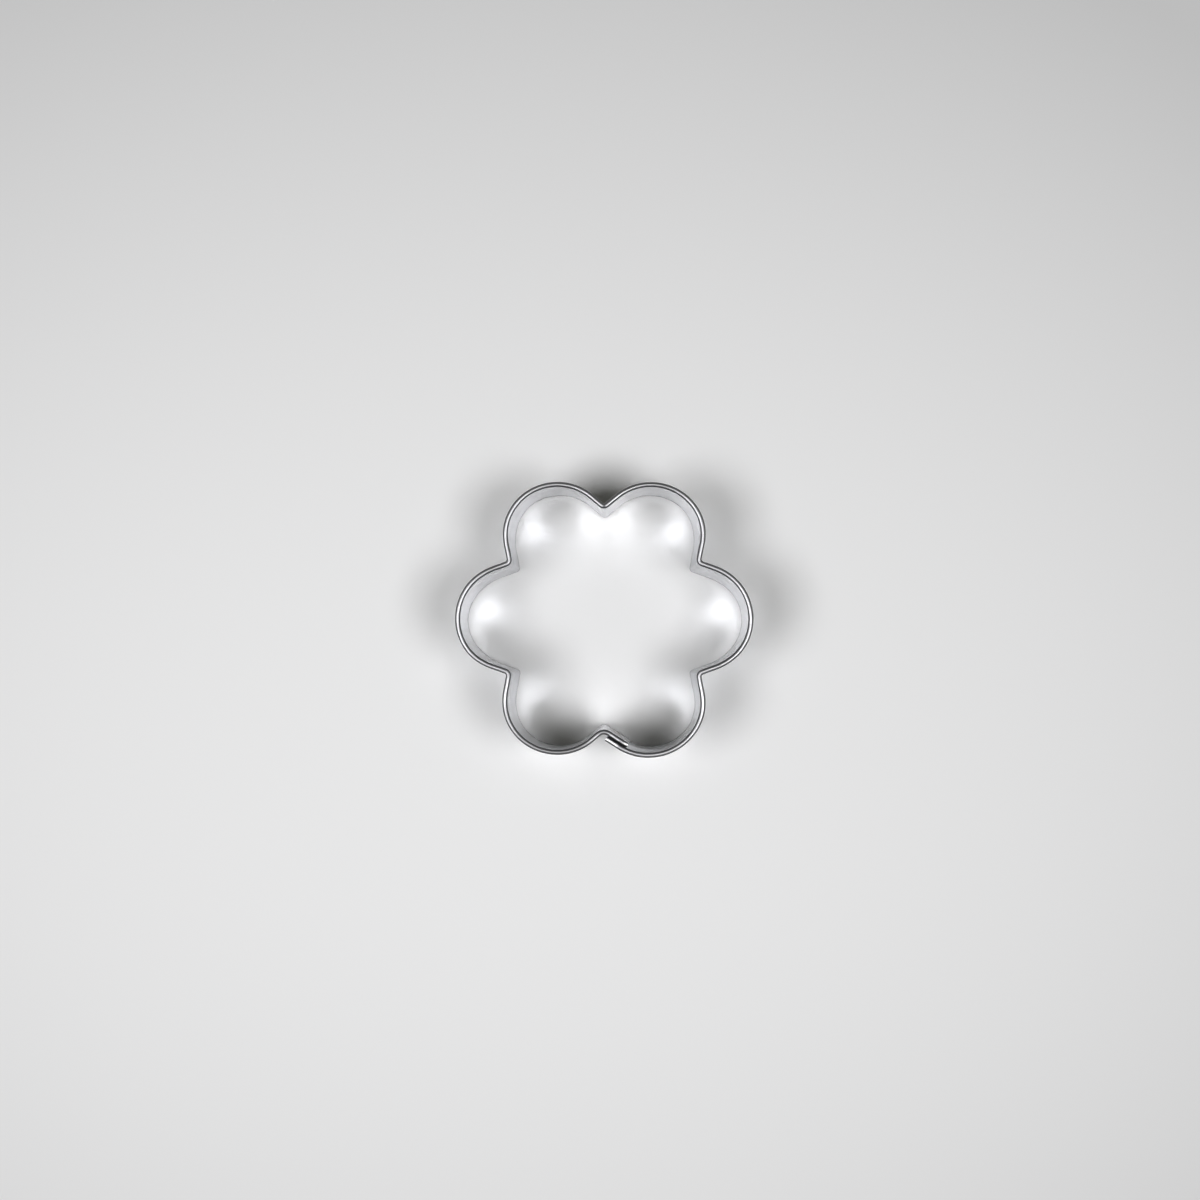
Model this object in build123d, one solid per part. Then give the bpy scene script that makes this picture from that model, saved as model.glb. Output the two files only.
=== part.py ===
from build123d import *
import os
from collections import namedtuple
from math import cos, degrees, radians, sin

# Six-petal cookie cutter: one strip of sheet steel on edge, its upper edge rolled
# outwards into a rim, its two ends lapped at the bottom notch and spot-welded.
# Millimetres. The cutting edge lies in Z = 0 and the rim is up. The origin is the
# flower's centre, with petals along +X and -X. The lapped notch points along -Y.

# Flower, measured over the rim
across = 60.0
cutter_height = 25.0
petal_count = 6
notch_opening = 100.0
flank_length = 2.65

# Sheet and rolled rim
sheet = 0.3
rim_width = 1.05
rim_depth = 2.2

# Flats that stand for the roll's outer and inner half rounds, within 0.03 mm of round
roll_flats = 8
roll_hollow_flats = 3

# Bends at the notches, on the inside of each bend. The stiff rim bends more widely
# than the sheet below it, so the two are blended over a height under the rim.
rim_notch_radius = 0.45
edge_notch_radius = 0.5
lap_rim_notch_radius = 1.3
lap_edge_notch_radius = 0.9

# Lap. The inner end runs straight on from the notch and then follows the petal for
# the length of its tail. The outer end starts where the rim's bend stops.
lap_flank_turn = 7.5
lap_notch_setback = 0.35
lap_petal_growth = 0.25
lap_tail = 1.35
lap_clearance = 0.1
lap_start = 0.1

# Blend between the lower outline and the rim's outline, also the joggle that takes
# the outer end from beside the inner end's rim down onto the inner end's sheet
blend_height = 5.6
blend_below_rim = 0.2

# Spot welds, in a column on the straight part of the lap
weld_count = 3
weld_diameter = 2.0
weld_pitch = 5.2
lowest_weld_height = 4.2
weld_dish = 0.05
weld_from_end = 1.5

# Angles of the flower, in degrees
petal_pitch = 360 / petal_count
flank_turn = (180 - notch_opening) / 2
petal_wrap = petal_pitch / 2 + flank_turn
lap_petal_axis = -petal_pitch
lap_notch_axis = lap_petal_axis - petal_pitch / 2
lap_normal = lap_petal_axis - petal_wrap + lap_flank_turn

# Radius of the petals over the rim. Half the width between two notches is taken up by
# the petal, the straight flank and half of the notch's bend.
notch_room = rim_notch_radius * sin(radians(flank_turn)) + flank_length * cos(radians(flank_turn))
petal_room = across / 2 * sin(radians(petal_pitch / 2)) - notch_room
petal_radius = petal_room / (sin(radians(petal_pitch / 2)) + sin(radians(flank_turn)))

# Reaches from the flower's centre to the inner face of the sheet
inner_petal_radius = petal_radius - rim_width
tip_reach = across / 2 - rim_width
flank_reach = (across / 2 - petal_radius) * cos(radians(petal_wrap)) + inner_petal_radius
notch_corner_reach = flank_reach / cos(radians(flank_turn))
lap_reach = (notch_corner_reach + lap_notch_setback) * cos(radians(lap_normal - lap_notch_axis))

# Heights
fold_height = cutter_height - rim_width / 2
leg_height = cutter_height - rim_depth
blend_top = leg_height - blend_below_rim
blend_bottom = blend_top - blend_height

# Distance between the inner faces of the two lapped ends
set_at_rim = rim_width + lap_clearance
set_at_edge = sheet + lap_clearance

# A bend turns the sheet about a centre. The outward normal goes from one angle to
# another, and the radius is that of the inner face: negative at a notch, where the
# centre is outside the flower. A bend with equal angles is only an end of the strip.
Bend = namedtuple("Bend", "centre radius first last")
Flank = namedtuple("Flank", "normal reach")


def toward(angle):
    """Unit vector at an angle in the flower's plane."""
    return Vector(cos(radians(angle)), sin(radians(angle)), 0)


lap_direction = toward(lap_normal + 90)


def crossing(one, two):
    """Point where two flank lines cross."""
    spread = sin(radians(two.normal - one.normal))
    x = one.reach * sin(radians(two.normal)) - two.reach * sin(radians(one.normal))
    y = two.reach * cos(radians(one.normal)) - one.reach * cos(radians(two.normal))
    return Vector(x / spread, y / spread, 0)


def notch_bend(incoming, outgoing, radius):
    """Bend of a given inner-face radius between two flanks, seen from the inside."""
    centre = crossing(
        Flank(incoming.normal, incoming.reach + radius),
        Flank(outgoing.normal, outgoing.reach + radius),
    )
    return Bend(centre, -radius, incoming.normal, outgoing.normal)


def petal_bend(axis, incoming, outgoing, tip):
    """The circle that touches both flanks of a petal and reaches out to its tip."""
    before = radians(axis - incoming.normal)
    after = radians(outgoing.normal - axis)
    room = (tip - incoming.reach) * sin(after) + (tip - outgoing.reach) * sin(before)
    narrowing = (1 - cos(before)) * sin(after) + (1 - cos(after)) * sin(before)
    along = room / narrowing
    aside = (outgoing.reach - tip + along * (1 - cos(after))) / sin(after)
    centre = toward(axis) * along + toward(axis + 90) * aside
    return Bend(centre, tip - along, incoming.normal, outgoing.normal)


def lap_petal(lap_set):
    """The petal whose first flank is the outer end of the lap."""
    return petal_bend(
        lap_petal_axis,
        Flank(lap_normal, lap_reach + lap_set),
        Flank(lap_petal_axis + petal_wrap, flank_reach),
        tip_reach + lap_petal_growth,
    )


def outer_end():
    """How far along the lapped flank the outer end starts: just past the rim's bend."""
    rim_bend = notch_bend(
        Flank(lap_notch_axis - petal_pitch / 2 + petal_wrap, flank_reach),
        Flank(lap_normal, lap_reach),
        rim_width + lap_rim_notch_radius,
    )
    return lap_direction * (rim_bend.centre.dot(lap_direction) + lap_start)


def lap_tail_bend():
    """The inner end's last stretch, which follows the rim of the lap petal from inside."""
    petal = lap_petal(set_at_rim)
    radius = petal.radius - set_at_rim
    turn = degrees(lap_tail / radius)
    return Bend(petal.centre, radius, lap_normal + 360, lap_normal + 360 + turn)


def outline(notch_radius, lap_notch_radius, lap_set):
    """Bends of the whole strip at one level, from its outer end round to its inner end."""
    bends = [Bend(outer_end(), lap_reach + lap_set, lap_normal, lap_normal)]
    bends.append(lap_petal(lap_set))
    for number in range(1, petal_count):
        axis = lap_petal_axis + number * petal_pitch
        before = Flank(axis - petal_pitch + petal_wrap, flank_reach)
        incoming = Flank(axis - petal_wrap, flank_reach)
        outgoing = Flank(axis + petal_wrap, flank_reach)
        bends.append(notch_bend(before, incoming, notch_radius))
        bends.append(petal_bend(axis, incoming, outgoing, tip_reach))
    bends.append(notch_bend(outgoing, Flank(lap_normal + 360, lap_reach), lap_notch_radius))
    bends.append(lap_tail_bend())
    return bends


def sheet_point(bend, normal, outset, height):
    """Point at a distance outside the inner face, where the outward normal has an angle."""
    return bend.centre + toward(normal) * (bend.radius + outset) + Vector(0, 0, height)


def sheet_line(bends, outset, height):
    """Lines and arcs that run round the flower at one outset from the inner face."""
    edges = []
    for here, there in zip(bends, bends[1:]):
        arc_start = sheet_point(there, there.first, outset, height)
        arc_middle = sheet_point(there, (there.first + there.last) / 2, outset, height)
        arc_end = sheet_point(there, there.last, outset, height)
        edges.append(Edge.make_line(sheet_point(here, here.last, outset, height), arc_start))
        edges.append(Edge.make_three_point_arc(arc_start, arc_middle, arc_end))
    return edges


def strip_face(bends, inner_outset, outer_outset, height):
    """Flat section of the strip at one height, between two outsets."""
    inside = sheet_line(bends, inner_outset, height)
    outside = sheet_line(bends, outer_outset, height)
    outer_end = Edge.make_line(outside[0] @ 0, inside[0] @ 0)
    inner_end = Edge.make_line(inside[-1] @ 1, outside[-1] @ 1)
    return Face(Wire([outer_end, *inside, inner_end, *reversed(outside)]))


def half_round(radius, flats):
    """Points of a half round over the middle of the rim, from its outer side to its inner."""
    turns = [radians(180 * number / flats) for number in range(flats + 1)]
    return [(rim_width / 2 + radius * cos(turn), -radius * sin(turn)) for turn in turns]


def rolled_rim(bends):
    """The sheet folded over outwards in a half round, with a leg down the outside."""
    path = Wire(sheet_line(bends, 0, fold_height))
    across_sheet = Plane(origin=path @ 0, x_dir=toward(bends[0].first), z_dir=path % 0)
    outer_roll = half_round(rim_width / 2, roll_flats)
    inner_roll = half_round(rim_width / 2 - sheet, roll_hollow_flats)
    leg = rim_depth - rim_width / 2
    leg_end = [(rim_width - sheet, leg), (rim_width, leg)]
    section = make_face(Polyline(*outer_roll, *reversed(inner_roll), *leg_end, close=True))
    return sweep(across_sheet * section, path=path)


def cutter_band():
    """The whole strip, with a hole through both lapped ends at each spot weld."""
    edge_line = outline(sheet + edge_notch_radius, sheet + lap_edge_notch_radius, set_at_edge)
    rim_line = outline(rim_width + rim_notch_radius, rim_width + lap_rim_notch_radius, set_at_rim)
    wall = extrude(strip_face(edge_line, 0, sheet, 0), amount=blend_bottom, dir=(0, 0, 1))
    blend = loft(
        [strip_face(edge_line, 0, sheet, blend_bottom), strip_face(rim_line, 0, sheet, blend_top)],
        ruled=True,
    )
    neck_face = strip_face(rim_line, 0, sheet, blend_top)
    neck = extrude(neck_face, amount=fold_height - blend_top, dir=(0, 0, 1))
    band = wall + blend + neck + rolled_rim(rim_line)
    for place in weld_places():
        band -= place * Cylinder(
            weld_diameter / 2,
            set_at_edge + sheet,
            align=(Align.CENTER, Align.CENTER, Align.MIN),
        )
    return band


def weld_places():
    """A plane on the lap's inner face for each spot weld, from the lowest up."""
    column = outer_end() + lap_direction * weld_from_end + toward(lap_normal) * lap_reach
    places = []
    for number in range(weld_count):
        height = Vector(0, 0, lowest_weld_height + number * weld_pitch)
        places.append(Plane(column + height, x_dir=lap_direction, z_dir=toward(lap_normal)))
    return places


def spot_weld():
    """A slug of weld metal through both sheets, dished at each end by the electrodes."""
    radius = weld_diameter / 2
    depth = set_at_edge + sheet
    low_end = (Align.CENTER, Align.CENTER, Align.MIN)
    slug = Cylinder(radius, depth, align=low_end)
    inside = Cone(radius, 0, weld_dish, align=low_end)
    outside = Pos(0, 0, depth - weld_dish) * Cone(0, radius, weld_dish, align=low_end)
    return slug - inside - outside


os.makedirs("parts", exist_ok=True)
export_step(cutter_band(), "parts/cutter_band.step")
for number, place in enumerate(weld_places(), start=1):
    export_step(place * spot_weld(), f"parts/spot_weld_{number}.step")
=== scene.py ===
"""Flower-shaped cookie cutter on a pale floor, lit by soft boxes and seen from above."""

from collections import namedtuple
from math import atan, cos, pi, radians, sin

import bmesh
import bpy
from bpy.props import FloatProperty, FloatVectorProperty, IntProperty, PointerProperty
from mathutils import Matrix, Vector


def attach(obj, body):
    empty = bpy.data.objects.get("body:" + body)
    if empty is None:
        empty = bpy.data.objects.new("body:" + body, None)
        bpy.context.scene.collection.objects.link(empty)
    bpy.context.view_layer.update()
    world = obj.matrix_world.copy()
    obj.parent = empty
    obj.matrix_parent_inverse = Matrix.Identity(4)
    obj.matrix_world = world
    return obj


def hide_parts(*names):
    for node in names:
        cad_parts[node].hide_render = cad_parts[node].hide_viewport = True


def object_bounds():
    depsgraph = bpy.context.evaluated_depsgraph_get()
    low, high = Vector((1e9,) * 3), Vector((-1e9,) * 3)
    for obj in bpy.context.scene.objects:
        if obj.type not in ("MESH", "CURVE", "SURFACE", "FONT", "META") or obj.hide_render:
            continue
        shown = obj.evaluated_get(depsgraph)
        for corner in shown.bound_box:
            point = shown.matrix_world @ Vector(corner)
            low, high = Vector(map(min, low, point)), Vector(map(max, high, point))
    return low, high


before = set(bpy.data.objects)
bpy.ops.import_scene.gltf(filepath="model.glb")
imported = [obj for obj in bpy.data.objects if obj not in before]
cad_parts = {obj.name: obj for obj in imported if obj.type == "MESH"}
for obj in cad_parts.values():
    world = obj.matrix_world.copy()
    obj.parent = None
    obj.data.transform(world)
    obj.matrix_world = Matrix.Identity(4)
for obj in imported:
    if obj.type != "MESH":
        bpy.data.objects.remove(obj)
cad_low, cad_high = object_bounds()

bl_info = {
    "name": "Cookie cutter",
    "version": (1, 0, 0),
    "blender": (4, 5, 0),
    "location": "3D View > Sidebar > Cutter",
    "description": "Builds a six-petal cookie cutter of rolled sheet steel and its studio",
    "category": "Add Mesh",
}

ROOT_BODY = "root"
BAND_NODE = "cutter_band"
WELD_NODE = "spot_weld_{}"


# Sizes and colours that a user would change

class StripSizes(bpy.types.PropertyGroup):
    """The steel strip, its rolled rim and the flower that it is bent into."""

    across: FloatProperty(
        name="Across", description="Width over the rim, from petal tip to petal tip",
        default=cad_high.x - cad_low.x, min=0.03, unit="LENGTH")
    height: FloatProperty(
        name="Height", description="From the cutting edge to the top of the rim",
        default=cad_high.z - cad_low.z, min=0.01, unit="LENGTH")
    petal_count: IntProperty(
        name="Petals", description="Petals round the flower", default=6, min=4, max=8)
    notch_opening: FloatProperty(
        name="Notch opening", description="Angle between the two flanks of a notch",
        default=radians(100), subtype="ANGLE")
    flank_length: FloatProperty(
        name="Flank", description="Straight stretch between a petal and a notch",
        default=0.00265, unit="LENGTH")
    sheet: FloatProperty(
        name="Sheet", description="Thickness of the steel", default=0.0003, unit="LENGTH")
    rim_width: FloatProperty(
        name="Rim width", description="Width of the rolled rim", default=0.00105, unit="LENGTH")
    rim_depth: FloatProperty(
        name="Rim depth", description="Height of the folded-over rim",
        default=0.0022, unit="LENGTH")
    rim_notch_radius: FloatProperty(
        name="Rim notch radius", description="Bend of the rim's outer side at a notch",
        default=0.00045, unit="LENGTH")
    edge_notch_radius: FloatProperty(
        name="Edge notch radius", description="Bend of the sheet's outer side at a notch",
        default=0.0005, unit="LENGTH")
    blend_height: FloatProperty(
        name="Blend", description="Height over which the sheet turns into the rim's outline",
        default=0.0056, unit="LENGTH")
    blend_below_rim: FloatProperty(
        name="Blend below rim", description="Gap between the rim's leg and the blend",
        default=0.0002, unit="LENGTH")
    waviness: FloatProperty(
        name="Waviness", description="How far the hand-bent sheet wanders",
        default=0.00016, unit="LENGTH")


class LapSizes(bpy.types.PropertyGroup):
    """The lap that joins the strip's two ends at one notch, and its spot welds."""

    rim_notch_radius: FloatProperty(
        name="Rim notch radius", description="Bend of the rim's outer side at the lapped notch",
        default=0.0013, unit="LENGTH")
    edge_notch_radius: FloatProperty(
        name="Edge notch radius", description="Bend of the sheet's outer side at the lapped notch",
        default=0.0009, unit="LENGTH")
    flank_turn: FloatProperty(
        name="Flank turn", description="Turn of the lapped flank against a plain one",
        default=radians(7.5), subtype="ANGLE")
    notch_setback: FloatProperty(
        name="Notch setback", description="How far outside the other notches this one lies",
        default=0.00035, unit="LENGTH")
    petal_growth: FloatProperty(
        name="Petal growth", description="How far further out the lapped petal reaches",
        default=0.00025, unit="LENGTH")
    tail: FloatProperty(
        name="Tail", description="Stretch of the inner end that follows the petal",
        default=0.00135, unit="LENGTH")
    clearance: FloatProperty(
        name="Clearance", description="Gap between the two ends", default=0.0001, unit="LENGTH")
    start: FloatProperty(
        name="Start", description="Distance of the outer end past the rim's bend",
        default=0.0001, unit="LENGTH")
    weld_count: IntProperty(
        name="Welds", description="Spot welds up the lap", default=3, min=1, max=3)
    weld_diameter: FloatProperty(
        name="Weld diameter", description="Diameter of a spot weld", default=0.002, unit="LENGTH")
    weld_pitch: FloatProperty(
        name="Weld pitch", description="Height between spot welds", default=0.0052, unit="LENGTH")
    lowest_weld: FloatProperty(
        name="Lowest weld", description="Height of the lowest spot weld",
        default=0.0042, unit="LENGTH")
    weld_from_end: FloatProperty(
        name="Weld from end", description="Distance of the welds from the outer end",
        default=0.0015, unit="LENGTH")


class StudioLook(bpy.types.PropertyGroup):
    """Colours of the metal and the floor, and the strength of the lights."""

    steel: FloatVectorProperty(
        name="Steel", description="Colour of the bright sheet", subtype="COLOR",
        default=(0.555, 0.562, 0.59))
    steel_roughness: FloatProperty(
        name="Steel roughness", description="Blur of reflections in the sheet",
        default=0.31, min=0, max=1, subtype="FACTOR")
    smudge: FloatVectorProperty(
        name="Smudge", description="Colour of the sheet where it was handled", subtype="COLOR",
        default=(0.50, 0.506, 0.525))
    rolling_line: FloatVectorProperty(
        name="Rolling line", description="Colour of the fine lines along the sheet",
        subtype="COLOR", default=(0.48, 0.486, 0.51))
    # Painted shade: the rim's top is darker than the sheet, which tones down its highlight
    shaded_crest: FloatVectorProperty(
        name="Rim crest", description="Colour of the rubbed top of the rim", subtype="COLOR",
        default=(0.38, 0.38, 0.39))
    # Painted shade on the rim's top on the lapped side
    lapped_side_shade: FloatVectorProperty(
        name="Dull crest", description="Colour of the rim's top on the lapped side",
        subtype="COLOR", default=(0.27, 0.27, 0.275))
    # Painted highlight on the rim's top at the strip's two ends
    end_highlight: FloatVectorProperty(
        name="Lap crest", description="Colour of the rim's top where the ends were pressed",
        subtype="COLOR", default=(0.85, 0.85, 0.85))
    # Painted shade: dark lines down both sides of the rim's roll, also used for the painted shade
    # at the lapped and creased notches and along the cutting edge
    painted_shade: FloatVectorProperty(
        name="Rim flanks", description="Colour of the tool lines beside the crest",
        subtype="COLOR", default=(0.07, 0.07, 0.075))
    weld: FloatVectorProperty(
        name="Weld", description="Colour of the weld metal", subtype="COLOR",
        default=(0.60, 0.58, 0.56))
    weld_tint: FloatVectorProperty(
        name="Weld tint", description="Colour of the patches on a weld", subtype="COLOR",
        default=(0.52, 0.46, 0.40))
    heat_tint: FloatVectorProperty(
        name="Heat tint", description="Colour of the sheet beside a weld", subtype="COLOR",
        default=(0.36, 0.31, 0.26))
    floor: FloatVectorProperty(
        name="Floor", description="Colour of the floor", subtype="COLOR",
        default=(0.80, 0.80, 0.80))
    backdrop: FloatVectorProperty(
        name="Backdrop", description="Colour of the far floor and of the wall behind it",
        subtype="COLOR", default=(0.72, 0.72, 0.715))
    side_power: FloatProperty(
        name="Side lights", description="Power of each soft box beside the cutter", default=4.5)
    sky: FloatProperty(
        name="Ceiling", description="Brightness of the ceiling", default=0.15)


# The flower's outline. A bend turns the sheet about a centre. Its normal goes from one
# angle to another. The radius is that of the inner face, negative where the centre is
# outside the flower.

Bend = namedtuple("Bend", "centre radius first last")
Flank = namedtuple("Flank", "normal reach")

# Where hand bending left each notch, against an even flower: its number from the lap
# onwards, how far its rim and its cutting edge are off, along X and Y.
Pull = namedtuple("Pull", "notch rim edge")
PULLS = (
    Pull(1, (-0.00030, 0.0), (-0.00080, 0.00005)),
    Pull(2, (-0.00028, 0.00005), (-0.00078, -0.00040)),
    Pull(3, (0.0, 0.00005), (0.0, -0.00010)),
    Pull(4, (0.00028, 0.00010), (0.00070, -0.00030)),
    Pull(5, (0.00020, 0.00015), (0.00085, 0.00015)),
)

# Where marks lie on the steel, in metres: painted highlights at the strip's ends, painted
# shade on the rim's top and along the cutting edge, heat tint about the welds and
# rougher notch bends. Each shows in full up to the first distance from its middle, or the
# first place along an axis, and not at all from the second.
# Painted highlights at the inner and the outer end of the strip
INNER_END_HIGHLIGHT = (0.0006, 0.0012)
OUTER_END_HIGHLIGHT = (0.0006, 0.0013)
# Painted shade on the rim's top at the lapped notch
LAP_NOTCH_SHADE = (0.0007, 0.0016)
# Painted shade where the creased notch's rim dips
CREASE_SHADE = (0.00015, 0.0004)
WELD_HEAT = (0.0010, 0.0024)
# Painted shade on the rim's top on the lapped side
SHADE_ALONG_X = (-0.0045, -0.0015)
SHADE_ALONG_Y = (-0.0195, -0.0165)
NOTCH_BENDS = (0.0205, 0.0240)
# Painted shade along the cutting edge, from its height up
CUTTING_EDGE_SHADE = (0.0010, 0.0024)

# The creased notch, counted from the lap, and the middles of the painted highlights on the outer
# end
CREASED_NOTCH = 3
OUTER_END_HIGHLIGHT_STEPS = (0.0008, 0.0018)

# Bands round the roll, for its crest and for the painted shade down its sides: how far up the roll
# each stop is, and how strong the band is there
CREST_BAND = ((0.90, 0), (0.96, 1))
FLANK_SHADE_BAND = ((0.52, 0), (0.64, 1), (0.86, 1), (0.93, 0))
COAT_BELOW_ROLL = (0.0, 0.3)

# The floor's colour is painted brightest beside the cutter, where the light falls, and falls
# off to a share of that colour as painted shade. Far from the cutter it turns into the
# backdrop. Reflections see the backdrop near the horizon and the ceiling above it.
BRIGHT_FLOOR_PLACE = (0.065, 0.057, 0)
BRIGHT_FLOOR_SCALE = (2.15, 2.83, 0)
DIM_FLOOR_SHARE = 0.72
FAR_FLOOR = (0.17, 0.45)
BACKDROP_TOP = (0.04, 0.18)


def toward(angle):
    """Unit vector at an angle in the flower's plane."""
    return Vector((cos(angle), sin(angle), 0))


def bend_point(bend, normal, height=0.0):
    """Point of the inner face where the sheet's normal has an angle."""
    return bend.centre + toward(normal) * bend.radius + Vector((0, 0, height))


def bend_middle(bend, height=0.0):
    """Point of the inner face halfway round a bend."""
    return bend_point(bend, (bend.first + bend.last) / 2, height)


def blended(low, high, share):
    """Value part of the way from one to another."""
    return low + (high - low) * share


class Flower:
    """The outline at one level, from the cutting edge at 0 to the rim at 1."""

    def __init__(self, strip, lap, level):
        self.pitch = 2 * pi / strip.petal_count
        flank_turn = (pi - strip.notch_opening) / 2
        self.wrap = self.pitch / 2 + flank_turn
        half = self.pitch / 2
        notch_room = strip.rim_notch_radius * sin(flank_turn) + strip.flank_length * cos(flank_turn)
        rim_radius = (strip.across / 2 * sin(half) - notch_room) / (sin(half) + sin(flank_turn))
        inner_radius = rim_radius - strip.rim_width
        self.tip_reach = strip.across / 2 - strip.rim_width
        self.flank_reach = (strip.across / 2 - rim_radius) * cos(self.wrap) + inner_radius
        self.lap_axis = -self.pitch
        self.lap_normal = self.lap_axis - self.wrap + lap.flank_turn
        notch_axis = self.lap_axis - half
        corner_reach = self.flank_reach / cos(flank_turn) + lap.notch_setback
        self.lap_reach = corner_reach * cos(self.lap_normal - notch_axis)
        self.lap_direction = toward(self.lap_normal + pi / 2)
        self.set_at_rim = strip.rim_width + lap.clearance
        self.lap_set = blended(strip.sheet + lap.clearance, self.set_at_rim, level)
        self.notch = blended(
            strip.sheet + strip.edge_notch_radius, strip.rim_width + strip.rim_notch_radius, level)
        self.lap_notch = blended(
            strip.sheet + lap.edge_notch_radius, strip.rim_width + lap.rim_notch_radius, level)
        self.petal_growth = lap.petal_growth
        self.tail = lap.tail
        rim_bend = self.notch_bend(
            Flank(notch_axis - half + self.wrap, self.flank_reach),
            Flank(self.lap_normal, self.lap_reach),
            strip.rim_width + lap.rim_notch_radius)
        self.outer_end = self.lap_direction * (rim_bend.centre.dot(self.lap_direction) + lap.start)

    def notch_bend(self, incoming, outgoing, radius):
        """Bend of a given inner-face radius between two flanks."""
        one, two = incoming.reach + radius, outgoing.reach + radius
        spread = sin(outgoing.normal - incoming.normal)
        x = (one * sin(outgoing.normal) - two * sin(incoming.normal)) / spread
        y = (two * cos(incoming.normal) - one * cos(outgoing.normal)) / spread
        return Bend(Vector((x, y, 0)), -radius, incoming.normal, outgoing.normal)

    def petal_bend(self, axis, incoming, outgoing, tip):
        """The circle that touches both flanks of a petal and reaches out to its tip."""
        before, after = axis - incoming.normal, outgoing.normal - axis
        room = (tip - incoming.reach) * sin(after) + (tip - outgoing.reach) * sin(before)
        along = room / ((1 - cos(before)) * sin(after) + (1 - cos(after)) * sin(before))
        aside = (outgoing.reach - tip + along * (1 - cos(after))) / sin(after)
        centre = toward(axis) * along + toward(axis + pi / 2) * aside
        return Bend(centre, tip - along, incoming.normal, outgoing.normal)

    def lap_petal(self, lap_set):
        """The petal whose first flank is the outer end of the lap."""
        return self.petal_bend(
            self.lap_axis,
            Flank(self.lap_normal, self.lap_reach + lap_set),
            Flank(self.lap_axis + self.wrap, self.flank_reach),
            self.tip_reach + self.petal_growth)

    def tail_bend(self):
        """The inner end's last stretch, which follows the lapped petal from inside."""
        petal = self.lap_petal(self.set_at_rim)
        radius = petal.radius - self.set_at_rim
        start = self.lap_normal + 2 * pi
        return Bend(petal.centre, radius, start, start + self.tail / radius)

    def bends(self):
        """Bends of the whole strip, from its outer end round to its inner end."""
        outer_reach = self.lap_reach + self.lap_set
        found = [Bend(self.outer_end, outer_reach, self.lap_normal, self.lap_normal)]
        found.append(self.lap_petal(self.lap_set))
        petal_count = round(2 * pi / self.pitch)
        for number in range(1, petal_count):
            axis = self.lap_axis + number * self.pitch
            before = Flank(axis - self.pitch + self.wrap, self.flank_reach)
            incoming = Flank(axis - self.wrap, self.flank_reach)
            outgoing = Flank(axis + self.wrap, self.flank_reach)
            found.append(self.notch_bend(before, incoming, self.notch))
            found.append(self.petal_bend(axis, incoming, outgoing, self.tip_reach))
        lapped = Flank(self.lap_normal + 2 * pi, self.lap_reach)
        found.append(self.notch_bend(outgoing, lapped, self.lap_notch))
        found.append(self.tail_bend())
        return found

    def weld_place(self, height):
        """Frame on the lap's inner face: x along the lap, z outwards through both ends."""
        outward = toward(self.lap_normal)
        up = outward.cross(self.lap_direction)
        origin = self.outer_end + outward * self.lap_reach + Vector((0, 0, height))
        axes = Matrix((self.lap_direction, up, outward)).transposed()
        return Matrix.Translation(origin) @ axes.to_4x4()


# Modelling by hand: small steps that several pieces share

def begin(add, name, **settings):
    """Adds a primitive with nothing else selected, names it and opens it for editing."""
    bpy.ops.object.select_all(action="DESELECT")
    add(**settings)
    piece = bpy.context.object
    piece.name = piece.data.name = name
    bpy.ops.object.transform_apply(location=True, rotation=True, scale=True)
    bpy.ops.object.mode_set(mode="EDIT")
    return piece


def select_where(piece, kind, test):
    """Selects the vertices, edges or faces whose points all pass a test of their place."""
    bpy.ops.mesh.select_mode(type=kind)
    bpy.ops.mesh.select_all(action="DESELECT")
    shape = bmesh.from_edit_mesh(piece.data)
    groups = {"VERT": shape.verts, "EDGE": shape.edges, "FACE": shape.faces}
    for element in groups[kind]:
        points = [element] if kind == "VERT" else element.verts
        element.select_set(all(test(point.co) for point in points))
    shape.select_flush_mode()
    bmesh.update_edit_mesh(piece.data)


def finish_mesh(piece):
    """Leaves edit mode."""
    bpy.ops.object.mode_set(mode="OBJECT")
    return piece


def add_modifier(piece, kind, **settings):
    """Adds a modifier, sets it and applies it."""
    modifier = piece.modifiers.new(kind.title(), kind)
    for name, value in settings.items():
        setattr(modifier, name, value)
    bpy.context.view_layer.objects.active = piece
    bpy.ops.object.modifier_apply(modifier=modifier.name)


def shade(piece, angle):
    """Smooth shading, with edges sharper than an angle left sharp."""
    bpy.ops.object.select_all(action="DESELECT")
    piece.select_set(True)
    bpy.context.view_layer.objects.active = piece
    bpy.ops.object.shade_smooth_by_angle(angle=angle)


# Shader maths

class Value:
    """A number or colour that changes over a surface. Sums and products add nodes."""

    def __init__(self, finish, socket):
        self.finish, self.socket = finish, socket

    def maths(self, operation, first, second=0.0):
        return self.finish.add(
            "ShaderNodeMath", {"operation": operation}, {0: first, 1: second})

    def __add__(self, other):
        return self.maths("ADD", self, other)

    def __sub__(self, other):
        return self.maths("SUBTRACT", self, other)

    def __rsub__(self, other):
        return self.maths("SUBTRACT", other, self)

    def __mul__(self, other):
        return self.maths("MULTIPLY", self, other)

    def __truediv__(self, other):
        return self.maths("DIVIDE", self, other)

    __radd__ = __add__
    __rmul__ = __mul__


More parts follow.
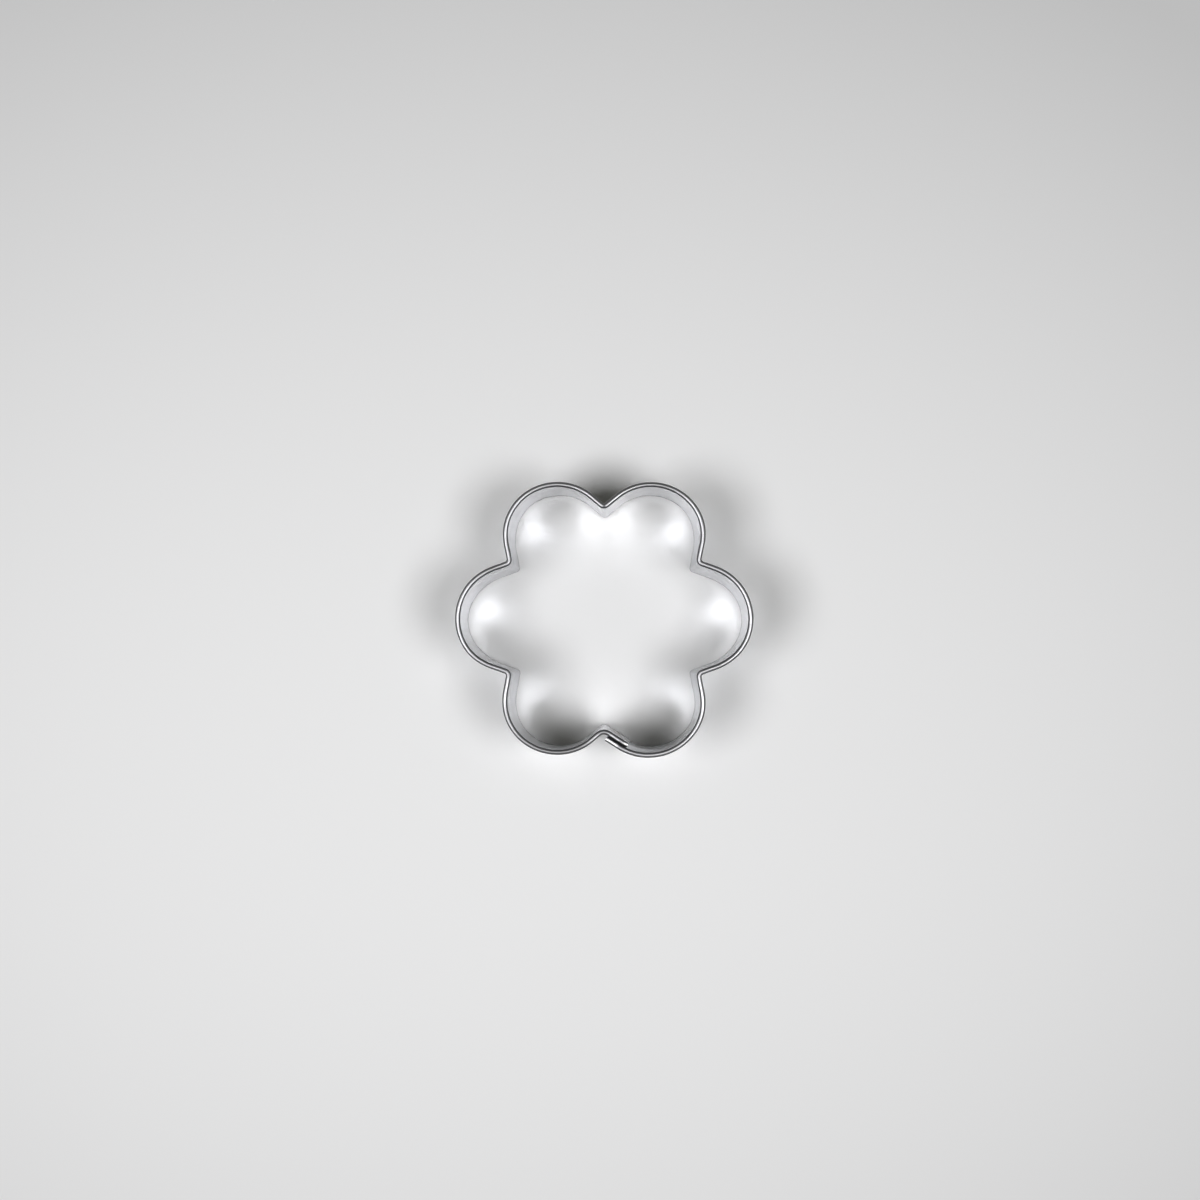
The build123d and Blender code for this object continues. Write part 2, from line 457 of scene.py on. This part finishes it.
class Finish:
    """The nodes of a material or of the world. Its one method add makes each of them."""

    def __init__(self, owner):
        owner.use_nodes = True
        self.owner, self.tree = owner, owner.node_tree
        self.tree.nodes.clear()

    def add(self, kind, settings=None, sockets=None, output=0):
        """Makes a node, sets it, fills its sockets and gives one of its outputs."""
        node = self.tree.nodes.new(kind)
        for name, value in (settings or {}).items():
            if name == "stops":
                self.set_stops(node.color_ramp, value)
            else:
                setattr(node, name, value)
        for name, value in (sockets or {}).items():
            if isinstance(value, Value):
                self.tree.links.new(value.socket, node.inputs[name])
            else:
                node.inputs[name].default_value = value
        return Value(self, node.outputs[output]) if len(node.outputs) else None

    @staticmethod
    def set_stops(ramp, stops):
        """Puts a ramp's colours at their positions."""
        while len(ramp.elements) > 1:
            ramp.elements.remove(ramp.elements[-1])
        for number, (position, colour) in enumerate(stops):
            stop = ramp.elements[0] if number == 0 else ramp.elements.new(position)
            stop.position = position
            stop.color = (*colour, 1)

    def place(self):
        """Object coordinates."""
        return self.add("ShaderNodeTexCoord", output="Object")

    def noise(self, cells, detail):
        """Noise with a number of cells per metre along each axis."""
        spread = self.add("ShaderNodeMapping", sockets={"Vector": self.place(), "Scale": cells})
        return self.add(
            "ShaderNodeTexNoise", sockets={"Vector": spread, "Scale": 1.0, "Detail": detail})

    def ramp(self, value, stops):
        """Colour that follows a value."""
        return self.add("ShaderNodeValToRGB", {"stops": stops}, {"Fac": value})

    def band(self, value, stops):
        """Strength that follows a value."""
        return self.ramp(value, [(position, (level, level, level)) for position, level in stops])

    def along(self, axis):
        """Place along one axis."""
        return self.add("ShaderNodeSeparateXYZ", sockets={"Vector": self.place()}, output=axis)

    def reach(self):
        """Distance from the upright axis through the flower's centre."""
        flat = self.add("ShaderNodeVectorMath", {"operation": "MULTIPLY"}, {
            0: self.place(), 1: (1, 1, 0)})
        return self.add("ShaderNodeVectorMath", {"operation": "LENGTH"}, {0: flat}, output=1)

    def fade(self, value, full, none):
        """Falls from 1 at one value to 0 at a higher one."""
        return self.add(
            "ShaderNodeMapRange", {"interpolation_type": "SMOOTHSTEP"},
            {0: value, 1: full, 2: none, 3: 1.0, 4: 0.0})

    def ray(self, kind):
        """1 for rays of one kind."""
        return self.add("ShaderNodeLightPath", output=kind)

    def mirrored(self):
        """1 for rays that meet a thing in a reflection or through glass."""
        return self.ray("Is Glossy Ray") + self.ray("Is Transmission Ray")

    def spot(self, middle, full, none):
        """A round mark: 1 out to one distance from its middle and 0 from another."""
        away = self.add(
            "ShaderNodeVectorMath", {"operation": "DISTANCE"}, {0: self.place(), 1: middle},
            output=1)
        return self.fade(away, full, none)

    def mix(self, share, first, second):
        """Colour between two others."""
        return self.add(
            "ShaderNodeMix", {"data_type": "RGBA"},
            {0: share, 6: opaque(first), 7: opaque(second)}, output=2)

    def layered(self, colour, layers):
        """A colour with others over it, each with its mark and how strongly it shows there."""
        for mark, strength, layer in layers:
            colour = self.mix(mark * strength, colour, layer)
        return colour

    def bump(self, height, distance, strength):
        """Normal raised by a height."""
        return self.add("ShaderNodeBump", sockets={
            "Height": height, "Distance": distance, "Strength": strength})

    def surface(self, **sockets):
        """The material's shader, and its output."""
        named = {name.replace("_", " "): value for name, value in sockets.items()}
        shader = self.add("ShaderNodeBsdfPrincipled", sockets=named)
        self.add("ShaderNodeOutputMaterial", sockets={"Surface": shader})
        return self.owner


def opaque(colour):
    """A colour with full alpha. One that comes from a node has it already."""
    return colour if isinstance(colour, Value) else (*colour, 1)


def crest_colour(finish, look, strip, lap):
    """The rim's top, darker than the sheet as painted shade that tones down its highlight, with
    painted highlights at the strip's two ends and painted shade on the lapped side, at the lapped
    notch and at the creased notch.
    """
    flower = Flower(strip, lap, 1)
    crest = [bend._replace(radius=bend.radius + strip.rim_width / 2) for bend in flower.bends()]
    inner_end = bend_point(crest[-1], crest[-1].last, strip.height)
    outer_end = bend_point(crest[0], crest[0].first, strip.height)
    # Painted highlights at the strip's two ends
    painted = finish.spot(inner_end, *INNER_END_HIGHLIGHT) + sum(
        finish.spot(outer_end + flower.lap_direction * onward, *OUTER_END_HIGHLIGHT)
        for onward in OUTER_END_HIGHLIGHT_STEPS)
    # Painted shade on the rim's top at the lapped notch
    joined = finish.spot(bend_middle(crest[-2], strip.height), *LAP_NOTCH_SHADE)
    # Painted shade on the crest of the creased notch
    crease_shade = finish.spot(bend_middle(crest[2 * CREASED_NOTCH], strip.height), *CREASE_SHADE)
    # Painted shade on the rim's top on the lapped side
    shade_on_lapped_side = (
        finish.fade(finish.along("Y"), *SHADE_ALONG_Y)
        * finish.fade(finish.along("X"), *SHADE_ALONG_X))
    return finish.layered(look.shaded_crest, (
        (shade_on_lapped_side, 1.0, look.lapped_side_shade),
        (joined, 0.35, look.painted_shade),
        (painted, 1.0, look.end_highlight),
        (crease_shade, 0.7, look.painted_shade)))


def weld_heat(finish, strip, lap):
    """Round marks on the sheet about the spot welds."""
    flower = Flower(strip, lap, 0)
    middle = Vector((lap.weld_from_end, 0, strip.sheet + lap.clearance / 2))
    heights = (lap.lowest_weld + number * lap.weld_pitch for number in range(lap.weld_count))
    return sum(finish.spot(flower.weld_place(height) @ middle, *WELD_HEAT) for height in heights)


def sheet_steel(look, strip, lap):
    """Bright rolled sheet, with painted shade on the rim's top, down the rim's sides and along the
    cutting edge, and painted highlights at the strip's two ends.
    """
    finish = Finish(bpy.data.materials.new("bright_sheet_steel"))
    grain = finish.noise((30, 30, 5000), 3.0)
    lines = finish.noise((10, 10, 2600), 4.0)
    smudge = finish.band(finish.noise((160, 160, 160), 3.0), ((0.42, 0), (0.72, 1)))
    rise = finish.along("Z")
    roll = (rise - (strip.height - strip.rim_width)) / strip.rim_width
    crest = finish.band(roll, CREST_BAND)
    heat = weld_heat(finish, strip, lap)
    bent = finish.fade(finish.reach(), *NOTCH_BENDS)
    colour = finish.layered(look.steel, (
        (smudge, 0.25, look.smudge),
        (finish.band(lines, ((0.45, 0), (0.75, 1))), 0.18, look.rolling_line),
        (heat, 0.6, look.heat_tint),
        # The rim's top, with its painted shade and painted highlights
        (crest, 1.0, crest_colour(finish, look, strip, lap)),
        # Painted shade down both sides of the rim's roll
        (finish.band(roll, FLANK_SHADE_BAND), 0.85, look.painted_shade),
        # Painted shade along the cutting edge
        (finish.fade(rise, *CUTTING_EDGE_SHADE), 0.35, look.painted_shade)))
    roughness = (
        look.steel_roughness + (grain - 0.5) * 0.10 + (lines - 0.5) * 0.04 + smudge * 0.06
        + crest * 0.03 + bent * 0.20 + heat * 0.08)
    return finish.surface(
        Base_Color=colour, Metallic=1.0, Roughness=roughness,
        Normal=finish.bump(grain, 0.000004, 0.12),
        Coat_Weight=finish.fade(roll, *COAT_BELOW_ROLL) * 0.55, Coat_Roughness=0.10)


def weld_metal(look):
    """Dull weld metal with a heat tint."""
    finish = Finish(bpy.data.materials.new("spot_weld_metal"))
    grain = finish.noise((2500, 2500, 2500), 4.0)
    return finish.surface(
        Base_Color=finish.mix(grain, look.weld, look.weld_tint), Metallic=1.0,
        Roughness=0.34 + grain * 0.12, Normal=finish.bump(grain, 0.00001, 0.4))


def floor_paint(look):
    """Pale matt floor, its colour darkened away from where the light falls as painted shade."""
    finish = Finish(bpy.data.materials.new("pale_floor"))
    # Painted shade: the floor's colour falls off away from where the light falls
    around = finish.add("ShaderNodeMapping", sockets={
        "Vector": finish.place(), "Location": BRIGHT_FLOOR_PLACE, "Scale": BRIGHT_FLOOR_SCALE})
    away = finish.add("ShaderNodeVectorMath", {"operation": "LENGTH"}, {0: around}, output=1)
    dim_floor = [DIM_FLOOR_SHARE * part for part in look.floor]
    colour = finish.mix(away * away / (1 - DIM_FLOOR_SHARE), look.floor, dim_floor)
    paint = finish.add(
        "ShaderNodeBsdfPrincipled", sockets={"Base Color": colour, "Roughness": 0.6})
    glow = finish.add("ShaderNodeEmission", sockets={"Color": opaque(look.backdrop)})
    far = 1 - finish.fade(finish.reach(), *FAR_FLOOR)
    shader = finish.add("ShaderNodeMixShader", sockets={
        0: far * (finish.ray("Is Camera Ray") + finish.mirrored()), 1: paint, 2: glow})
    finish.add("ShaderNodeOutputMaterial", sockets={"Surface": shader})
    return finish.owner


# Operators

class CUTTER_OT_strip(bpy.types.Operator):
    """Bend the strip into the flower, roll its rim and thicken it to a sheet"""

    bl_idname = "cutter.strip"
    bl_label = "Bent Strip"

    petal_steps = 64
    notch_steps = 16
    flank_steps = 4
    tail_steps = 5
    wall_rows = 10
    blend_rows = 10
    neck_rows = 2
    roll_steps = 16
    leg_rows = 3
    pull_grip = 0.0022
    edge_pull_reach = 0.013
    rim_pull_reach = 0.008
    wander_lengths = {"X": 0.013, "Y": 0.017}
    bevel_from = radians(60)
    sharp_from = radians(35)

    def execute(self, context):
        strip, lap = context.scene.cutter_strip, context.scene.cutter_lap
        self.fold_height = strip.height - strip.rim_width / 2
        self.leg_height = strip.height - strip.rim_depth
        self.blend_top = self.leg_height - strip.blend_below_rim
        self.blend_bottom = self.blend_top - strip.blend_height
        wall = self.wall(Flower(strip, lap, 0))
        rim = self.rim(strip, Flower(strip, lap, 1))
        band = self.blend(wall, rim)
        self.pull_notches(band, Flower(strip, lap, 0))
        self.bend_unevenly(band, strip)
        add_modifier(
            band, "SOLIDIFY", thickness=strip.sheet, offset=-1, use_even_offset=True, use_rim=True)
        add_modifier(
            band, "BEVEL", width=strip.sheet / 6, segments=2, limit_method="ANGLE",
            angle_limit=self.bevel_from)
        self.pierce(band, strip, lap)
        shade(band, self.sharp_from)
        band.data.materials.append(sheet_steel(context.scene.cutter_look, strip, lap))
        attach(band, ROOT_BODY)
        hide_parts(BAND_NODE)
        return {"FINISHED"}

    def wall(self, flower):
        """The lower wall, from the cutting edge up to the blend."""
        bends = flower.bends()
        foot = bend_point(bends[0], bends[0].first)
        half = self.blend_bottom / 2
        wall = begin(
            bpy.ops.mesh.primitive_plane_add, "band_wall", size=self.blend_bottom,
            location=foot + flower.lap_direction * half + Vector((0, 0, half)),
            rotation=(pi / 2, 0, flower.lap_normal + pi / 2))
        select_where(wall, "VERT", lambda point: (point.xy - foot.xy).length > half)
        bpy.ops.mesh.delete(type="VERT")
        bpy.ops.mesh.select_all(action="SELECT")
        bpy.ops.mesh.subdivide(number_cuts=self.wall_rows - 1)
        bpy.ops.mesh.select_all(action="SELECT")
        self.carry_round(bends)
        return finish_mesh(wall)

    def rim(self, strip, flower):
        """The neck above the blend, the half round and the leg down its outside."""
        bends = flower.bends()
        radius = strip.rim_width / 2
        foot = bend_point(bends[0], bends[0].first, self.fold_height)
        outward = toward(flower.lap_normal)
        rim = begin(
            bpy.ops.mesh.primitive_circle_add, "band_rim", vertices=2 * self.roll_steps,
            radius=radius, location=foot + outward * radius,
            rotation=(pi / 2, 0, flower.lap_normal))
        near = radius / self.roll_steps
        select_where(rim, "VERT", lambda point: point.z < self.fold_height - near)
        bpy.ops.mesh.delete(type="VERT")
        for reach, drop, rows in (
            (0, self.fold_height - self.blend_top, self.neck_rows),
            (strip.rim_width, self.fold_height - self.leg_height, self.leg_rows),
        ):
            end = foot + outward * reach
            select_where(rim, "VERT", lambda point: (point - end).length < near)
            for _ in range(rows):
                bpy.ops.mesh.extrude_vertices_move(
                    TRANSFORM_OT_translate={"value": (0, 0, -drop / rows)})
        bpy.ops.mesh.select_all(action="SELECT")
        self.carry_round(bends)
        return finish_mesh(rim)

    def carry_round(self, bends):
        """Carries the selected profile along each straight flank and round each bend."""
        for here, there in zip(bends, bends[1:]):
            run = bend_point(there, there.first) - bend_point(here, here.last)
            for _ in range(self.flank_steps):
                bpy.ops.mesh.extrude_region_move(
                    TRANSFORM_OT_translate={"value": run / self.flank_steps})
            turn = there.last - there.first
            if there is bends[-1]:
                steps = self.tail_steps
            else:
                steps = self.notch_steps if there.radius < 0 else self.petal_steps
            bpy.ops.mesh.spin(steps=steps, angle=-turn, center=there.centre, axis=(0, 0, 1))

    def blend(self, wall, rim):
        """Joins the wall to the rim with a smooth blend between their outlines."""
        bpy.ops.object.select_all(action="DESELECT")
        rim.select_set(True)
        wall.select_set(True)
        bpy.context.view_layer.objects.active = wall
        bpy.ops.object.join()
        wall.name = wall.data.name = "flower_band"
        bpy.ops.object.mode_set(mode="EDIT")
        near = (self.blend_top - self.blend_bottom) / 1000
        levels = (self.blend_bottom, self.blend_top)
        select_where(
            wall, "EDGE", lambda point: min(abs(point.z - level) for level in levels) < near)
        bpy.ops.mesh.bridge_edge_loops(
            number_cuts=self.blend_rows - 1, interpolation="SURFACE", smoothness=1.0)
        bpy.ops.mesh.select_all(action="SELECT")
        bpy.ops.mesh.remove_doubles(threshold=near)
        bpy.ops.mesh.normals_make_consistent(inside=False)
        return finish_mesh(wall)

    def pull_notches(self, band, flower):
        """Pulls each notch off its even place, by its rim and by its cutting edge."""
        bpy.context.view_layer.objects.active = band
        bpy.ops.object.mode_set(mode="EDIT")
        bends = flower.bends()
        for pull in PULLS:
            corner = bend_middle(bends[2 * pull.notch])
            for low, high, shift, reach in (
                (-1, self.blend_bottom / 1000, pull.edge, self.edge_pull_reach),
                (self.blend_top, 1, pull.rim, self.rim_pull_reach),
            ):
                select_where(band, "VERT", lambda point: (
                    low < point.z < high and (point.xy - corner.xy).length < self.pull_grip))
                bpy.ops.transform.translate(
                    value=(*shift, 0), use_proportional_edit=True,
                    proportional_edit_falloff="SMOOTH", proportional_size=reach)
        finish_mesh(band)

    def bend_unevenly(self, band, strip):
        """Lets the sheet wander a little, both of its faces alike."""
        for direction, length in self.wander_lengths.items():
            cloud = bpy.data.textures.new(f"unevenness_{direction}", "CLOUDS")
            cloud.noise_scale = length
            cloud.noise_depth = 0
            add_modifier(
                band, "DISPLACE", texture=cloud, texture_coords="LOCAL", direction=direction,
                mid_level=0.5, strength=strip.waviness)

    def pierce(self, band, strip, lap):
        """Opens a hole through both ends for each spot weld."""
        flower = Flower(strip, lap, 0)
        depth = 2 * strip.sheet + lap.clearance
        for number in range(lap.weld_count):
            place = flower.weld_place(lap.lowest_weld + number * lap.weld_pitch)
            centre = place @ Vector((lap.weld_from_end, 0, depth / 2))
            drill = begin(
                bpy.ops.mesh.primitive_cylinder_add, "drill", vertices=48,
                radius=lap.weld_diameter / 2, depth=3 * depth, location=centre,
                rotation=place.to_euler())
            finish_mesh(drill)
            add_modifier(band, "BOOLEAN", operation="DIFFERENCE", object=drill, solver="EXACT")
            bpy.data.objects.remove(drill)


class CUTTER_OT_spot_welds(bpy.types.Operator):
    """Set a dished spot weld into each hole of the lap"""

    bl_idname = "cutter.spot_welds"
    bl_label = "Spot Welds"

    # Each inset of an end: its width as a share of the radius, and how far it rises
    insets = (
        (0.12, 0.00002), (0.12, 0.0), (0.14, -0.00003), (0.2, -0.00003), (0.2, -0.00001))
    sharp_from = radians(50)

    def execute(self, context):
        strip, lap = context.scene.cutter_strip, context.scene.cutter_lap
        flower = Flower(strip, lap, 0)
        metal = weld_metal(context.scene.cutter_look)
        for number in range(lap.weld_count):
            place = flower.weld_place(lap.lowest_weld + number * lap.weld_pitch)
            weld = self.weld(strip, lap, place, f"weld_{number + 1}")
            weld.data.materials.append(metal)
            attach(weld, ROOT_BODY)
            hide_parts(WELD_NODE.format(number + 1))
        return {"FINISHED"}

    def weld(self, strip, lap, place, name):
        """A slug with a raised ring and a dish on both ends."""
        depth = 2 * strip.sheet + lap.clearance
        radius = lap.weld_diameter / 2
        centre = place @ Vector((lap.weld_from_end, 0, depth / 2))
        weld = begin(
            bpy.ops.mesh.primitive_cylinder_add, name, vertices=48, radius=radius,
            depth=depth, location=centre, rotation=place.to_euler())
        bpy.ops.mesh.select_mode(type="FACE")
        bpy.ops.mesh.select_all(action="DESELECT")
        shape = bmesh.from_edit_mesh(weld.data)
        for face in shape.faces:
            face.select_set(len(face.verts) > 4)
        bmesh.update_edit_mesh(weld.data)
        for width_share, rise in self.insets:
            bpy.ops.mesh.inset(thickness=radius * width_share, depth=rise)
        finish_mesh(weld)
        shade(weld, self.sharp_from)
        return weld


class CUTTER_OT_stage(bpy.types.Operator):
    """Lay the pale floor, hang the soft boxes and set up the camera"""

    bl_idname = "cutter.stage"
    bl_label = "Studio"

    floor_reach = 4.0
    boxes = {"left_box": (-0.37, -0.12, 0.87), "right_box": (0.33, -0.12, 0.90)}
    box_size = 0.34
    box_colour = (1.0, 1.0, 1.015)
    ceiling_colours = (
        (0.0, (0.10, 0.10, 0.085)), (0.25, (0.14, 0.14, 0.125)),
        (0.70, (0.45, 0.46, 0.39)), (1.0, (1.0, 1.0, 0.87)))
    camera_place = (0.0036, -0.0078, 0.477)
    camera_lens = 67.5
    camera_pitch = atan(57 / 2250)
    camera_roll = atan(22 / 2250)

    def execute(self, context):
        look = context.scene.cutter_look
        self.floor(look)
        for name, place in self.boxes.items():
            self.soft_box(name, place, look.side_power)
        self.ceiling(context.scene, look)
        self.camera(context.scene)
        return {"FINISHED"}

    def floor(self, look):
        """A round floor."""
        floor = begin(
            bpy.ops.mesh.primitive_circle_add, "pale_floor", vertices=96,
            radius=self.floor_reach, fill_type="NGON")
        bpy.ops.mesh.inset(thickness=self.floor_reach / 2)
        finish_mesh(floor)
        floor.data.materials.append(floor_paint(look))

    def soft_box(self, name, place, power):
        """A square soft light that faces the cutter."""
        light = bpy.data.lights.new(name, "AREA")
        light.shape = "SQUARE"
        light.size = self.box_size
        light.energy = power
        light.color = self.box_colour
        box = bpy.data.objects.new(name, light)
        box.location = place
        box.rotation_euler = (-Vector(place)).to_track_quat("-Z", "Y").to_euler()
        bpy.context.scene.collection.objects.link(box)

    def ceiling(self, scene, look):
        """A world that lights from overhead, with a pale backdrop for what is looked at."""
        world = bpy.data.worlds.new("studio")
        scene.world = world
        finish = Finish(world)
        direction = finish.add("ShaderNodeTexCoord", output="Generated")
        rise = finish.add("ShaderNodeSeparateXYZ", sockets={"Vector": direction}, output="Z")
        light = finish.add("ShaderNodeBackground", sockets={
            "Color": finish.ramp(rise, self.ceiling_colours), "Strength": look.sky})
        wall = finish.add("ShaderNodeBackground", sockets={"Color": opaque(look.backdrop)})
        low = finish.fade(rise, *BACKDROP_TOP)
        seen = finish.add("ShaderNodeMixShader", sockets={
            0: finish.ray("Is Camera Ray") + low * finish.mirrored(), 1: light, 2: wall})
        finish.add("ShaderNodeOutputWorld", sockets={"Surface": seen})

    def camera(self, scene):
        """The camera above the cutter, tilted slightly off the vertical."""
        lens = bpy.data.cameras.new("camera")
        lens.sensor_width = 36.0
        lens.lens = self.camera_lens
        lens.clip_start = 0.01
        camera = bpy.data.objects.new("camera", lens)
        camera.location = self.camera_place
        camera.rotation_euler = (self.camera_pitch, self.camera_roll, 0)
        scene.collection.objects.link(camera)
        scene.camera = camera


class CUTTER_PT_panel(bpy.types.Panel):
    """Sizes, colours and the steps that build the cutter"""

    bl_idname = "CUTTER_PT_panel"
    bl_label = "Cookie Cutter"
    bl_space_type = "VIEW_3D"
    bl_region_type = "UI"
    bl_category = "Cutter"

    def draw(self, context):
        for group_name in GROUPS:
            group = getattr(context.scene, group_name)
            column = self.layout.box().column()
            for name in group.__annotations__:
                column.prop(group, name)
        for step in STEPS:
            self.layout.operator(step.bl_idname)


GROUPS = {"cutter_strip": StripSizes, "cutter_lap": LapSizes, "cutter_look": StudioLook}
STEPS = (CUTTER_OT_stage, CUTTER_OT_strip, CUTTER_OT_spot_welds)


def register():
    for cls in (*GROUPS.values(), *STEPS, CUTTER_PT_panel):
        bpy.utils.register_class(cls)
    for name, group in GROUPS.items():
        setattr(bpy.types.Scene, name, PointerProperty(type=group))


def unregister():
    for name in GROUPS:
        delattr(bpy.types.Scene, name)
    for cls in (CUTTER_PT_panel, *reversed(STEPS), *reversed(GROUPS.values())):
        bpy.utils.unregister_class(cls)


def main():
    register()
    bpy.context.scene.view_settings.view_transform = "Standard"
    # Keeps the light that the steel throws on the floor
    bpy.context.scene.cycles.blur_glossy = 0.0
    bpy.ops.cutter.stage()
    bpy.ops.cutter.strip()
    bpy.ops.cutter.spot_welds()


if __name__ == "__main__":
    main()
